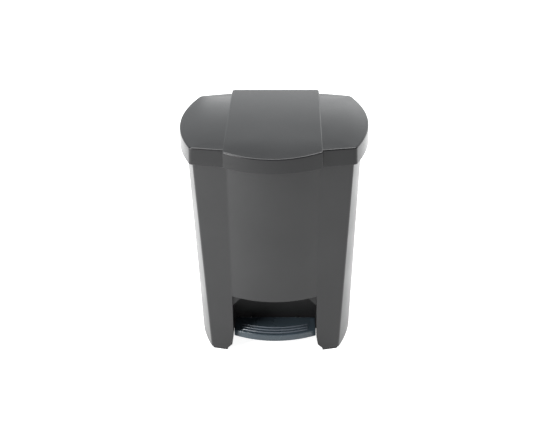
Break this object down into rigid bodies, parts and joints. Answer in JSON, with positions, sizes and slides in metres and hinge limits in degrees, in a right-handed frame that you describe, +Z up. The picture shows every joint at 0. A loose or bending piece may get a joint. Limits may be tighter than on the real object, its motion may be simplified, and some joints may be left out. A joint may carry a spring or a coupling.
{
  "type": "pedal waste bin",
  "caption": "Step-on waste bin: tapered moulded body on legs, raised-band lid hinged at the rear, inner bucket, and a pedal that opens the lid through a lift rod.",
  "frame": {"origin": "on the floor, under the middle of the outer box", "axes": "+Z up, -Y towards the pedal and the front, +X to the right seen from the front"},
  "size_m": [0.396, 0.365, 0.498],
  "materials": {
    "body_plastic": "satin moulded polypropylene with a fine texture",
    "lid_plastic": "satin moulded polypropylene, a little glossier than the body",
    "pedal_plastic": "dark slate moulded plastic",
    "inner_plastic": "dark moulded plastic",
    "bucket_plastic": "dark moulded plastic",
    "steel": "drawn and zinc plated",
    "screw_steel": "zinc plated",
    "lever_steel": "black powder coat",
    "bush_plastic": "natural acetal",
    "rubber": "matt moulded rubber"
  },
  "bodies": {
    "frame": {"body_shell": "body_plastic", "base_frame": "inner_plastic", "front_feet": "rubber", "rear_feet": "rubber", "bucket": "bucket_plastic", "hinge_bracket": "body_plastic", "bracket_screws": "screw_steel", "hinge_rod": "steel", "hinge_rod_caps": "screw_steel", "upper_guide": "inner_plastic", "lower_guide": "bush_plastic", "guide_screws": "screw_steel", "pedal_axle": "steel", "axle_bushes": "bush_plastic", "axle_clips": "screw_steel"},
    "lid": {"lid_shell": "lid_plastic", "lid_band": "lid_plastic", "band_screws": "screw_steel", "lid_crank": "inner_plastic", "crank_screws": "screw_steel"},
    "rod": {"lift_rod": "steel", "rod_clevis": "inner_plastic", "clevis_pin": "steel", "rod_foot_pin": "steel"},
    "pedal": {"pedal_tread": "pedal_plastic", "pedal_lever": "lever_steel", "pedal_screws": "screw_steel", "lever_bushes": "bush_plastic"}
  },
  "joints": [
    {"name": "lid_hinge", "type": "hinge", "parent": "frame", "child": "lid", "pos_m": [0, 0.176, 0.452], "axis": [-1, 0, 0], "range_deg": [0, 70]},
    {"name": "rod_slide", "type": "slide", "parent": "frame", "child": "rod", "axis": [0, 0.04, 0.9992], "range_m": [0, 0.03792]},
    {"name": "pedal_pivot", "type": "hinge", "parent": "frame", "child": "pedal", "pos_m": [0, -0.027, 0.047], "axis": [1, 0, 0], "range_deg": [0, 13.6]}
  ],
  "couplings": [
    {"joint": "rod_slide", "follows": "lid_hinge", "m_per_rad": 0.03104},
    {"joint": "pedal_pivot", "follows": "lid_hinge", "ratio": 0.1943}
  ]
}
